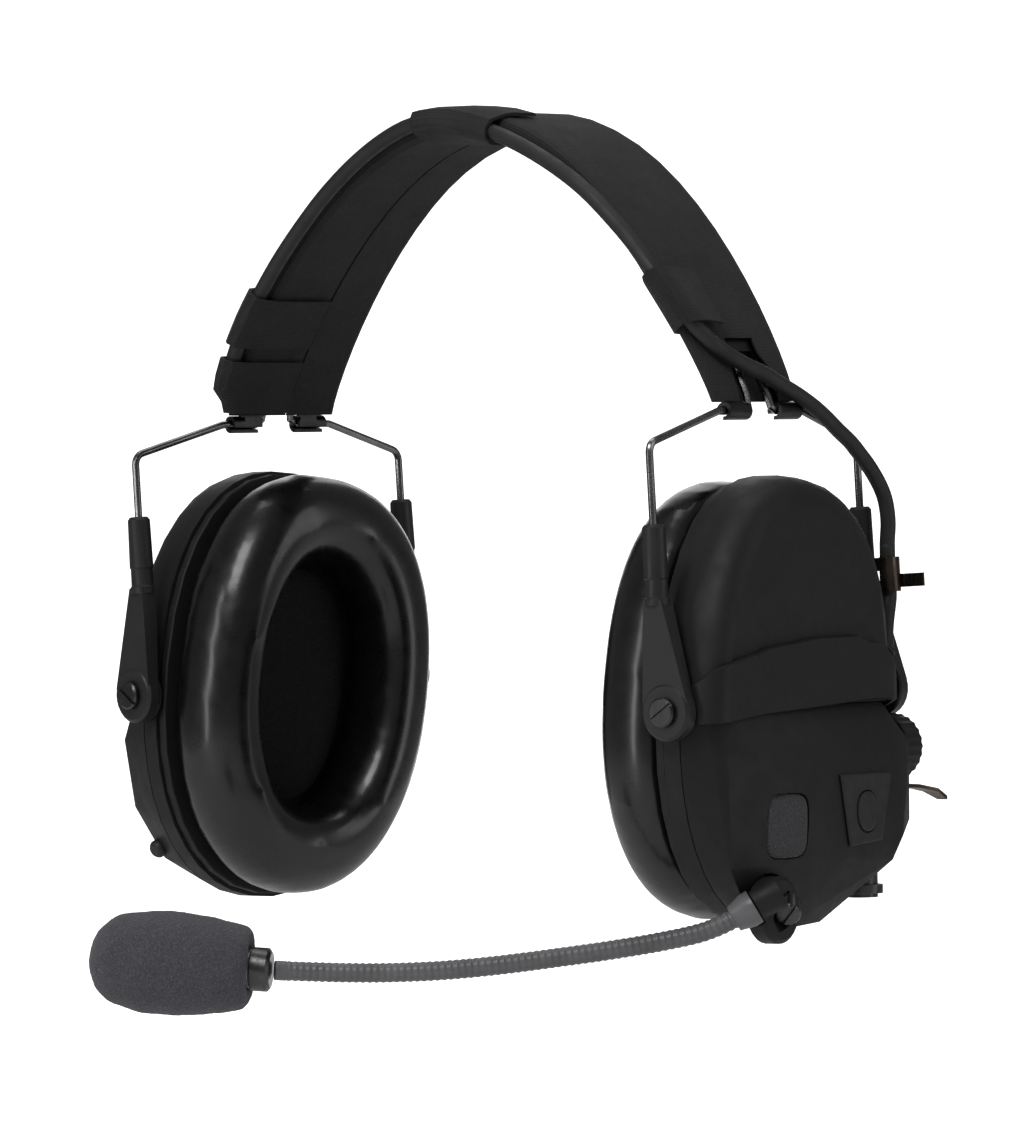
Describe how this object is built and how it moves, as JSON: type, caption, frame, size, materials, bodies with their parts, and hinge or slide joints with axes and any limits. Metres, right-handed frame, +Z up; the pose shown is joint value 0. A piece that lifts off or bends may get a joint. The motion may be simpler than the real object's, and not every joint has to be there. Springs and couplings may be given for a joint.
{
  "type": "communications headset",
  "caption": "Headset with padded fabric headband, wire yokes on sliding forks, oval padded cups and a boom microphone in a foam windscreen.",
  "frame": {"origin": "underside of the headband at its top, where it rests on the head", "axes": "+Z up, +X towards the cup with the boom microphone, -Y to the front, the way the wearer faces"},
  "size_m": [0.2255, 0.2004, 0.2321],
  "materials": {
    "fabric": "woven nylon, dull",
    "pad": "brushed foam-backed knit",
    "spring_steel": "bare",
    "wire": "dark bright nickel",
    "bracket": "blackened, satin",
    "arm": "moulded nylon, fine texture",
    "screw": "blackened",
    "shell": "moulded, fine spark texture",
    "strap": "moulded, satin",
    "vinyl": "soft glossy vinyl",
    "liner": "open foam",
    "inside_metal": "bare",
    "board": "glass epoxy board",
    "cell": "plain wrapped cell",
    "clip_metal": "dark brownish",
    "connector": "blackened",
    "rubber": "satin",
    "button": "matt silicone",
    "foam_window": "open-cell foam",
    "boom": "grey ribbed sleeve",
    "windscreen": "open-cell foam"
  },
  "bodies": {
    "headband": {"band_cover": "fabric", "band_pad": "pad", "band_spring": "spring_steel", "left_sleeve": "fabric", "top_sleeve": "fabric", "right_sleeve": "fabric", "right_tab": "fabric", "left_bracket": "bracket", "right_bracket": "bracket", "crossover_cable": "rubber"},
    "left_yoke": {"left_wire": "wire"},
    "left_fork": {"left_front_arm": "arm", "left_rear_arm": "arm", "cable_clip": "clip_metal"},
    "left_cup": {"left_front_screw": "screw", "left_rear_screw": "screw", "left_cushion": "vinyl", "left_cushion_ring": "shell", "left_foam_liner": "liner", "left_speaker": "inside_metal", "left_circuit_board": "board", "left_shell": "shell", "left_module": "shell", "left_strap": "strap", "battery_tube": "shell", "battery": "cell", "cap_tether": "clip_metal", "button_pad": "button", "port_foam": "foam_window", "connector_socket": "connector", "connector_nut": "connector", "cable_gland": "rubber"},
    "battery_cap_body": {"battery_cap": "shell"},
    "power_button_body": {"power_button": "button"},
    "boom": {"boom_clamp": "shell", "boom_gland": "boom", "gooseneck": "boom", "mic_neck": "boom", "mic_capsule": "inside_metal", "windscreen": "windscreen"},
    "thumbscrew_body": {"thumbscrew": "connector"},
    "right_yoke": {"right_wire": "wire"},
    "right_fork": {"right_front_arm": "arm", "right_rear_arm": "arm"},
    "right_cup": {"right_front_screw": "screw", "right_rear_screw": "screw", "right_cushion": "vinyl", "right_cushion_ring": "shell", "right_foam_liner": "liner", "right_speaker": "inside_metal", "right_circuit_board": "board", "right_shell": "shell", "right_module": "shell", "right_strap": "strap", "right_mic_port": "rubber"}
  },
  "joints": [
    {"name": "left_yoke_swing", "type": "hinge", "parent": "headband", "child": "left_yoke", "pos_m": [0.0872, 0, -0.0745], "axis": [-0.1045, 0.9945, 0], "range_deg": [-2, 3], "deforming": ["crossover_cable"]},
    {"name": "left_height", "type": "slide", "parent": "left_yoke", "child": "left_fork", "axis": [-0.0416, -0.0044, 0.9991], "range_m": [-0.013, 0.01], "deforming": ["crossover_cable"]},
    {"name": "left_cup_tilt", "type": "hinge", "parent": "left_fork", "child": "left_cup", "pos_m": [0.09352, -0.00265, -0.14861], "axis": [-0.1044, 0.994, 0.0333], "range_deg": [-7, 7], "deforming": ["crossover_cable"]},
    {"name": "battery_cap_turn", "type": "hinge", "parent": "left_cup", "child": "battery_cap_body", "pos_m": [0.0944, 0.03685, -0.16211], "axis": [-0.1045, 0.9945, 0], "range_deg": [0, 90]},
    {"name": "power_button_press", "type": "slide", "parent": "left_cup", "child": "power_button_body", "axis": [-0.9945, -0.1045, 0], "range_m": [0, 0.0012], "stiffness_N_per_m": 500, "springref_m": -0.0006},
    {"name": "boom_swing", "type": "hinge", "parent": "left_cup", "child": "boom", "pos_m": [0.10651, -0.02391, -0.20111], "axis": [0.9945, 0.1045, 0], "range_deg": [-3, 45]},
    {"name": "thumbscrew_turn", "type": "hinge", "parent": "boom", "child": "thumbscrew_body", "pos_m": [0.11324, -0.0228, -0.20251], "axis": [0.522, -0.6508, -0.5514], "range_deg": [0, 180]},
    {"name": "right_yoke_swing", "type": "hinge", "parent": "headband", "child": "right_yoke", "pos_m": [-0.0872, 0, -0.0745], "axis": [0.1045, 0.9945, 0], "range_deg": [-3, 3]},
    {"name": "right_height", "type": "slide", "parent": "right_yoke", "child": "right_fork", "axis": [-0.0607, 0.0064, 0.9981], "range_m": [-0.015, 0.007]},
    {"name": "right_cup_tilt", "type": "hinge", "parent": "right_fork", "child": "right_cup", "pos_m": [-0.08616, -0.00343, -0.14475], "axis": [0.1044, 0.994, 0.0333], "range_deg": [-7, 7]}
  ]
}
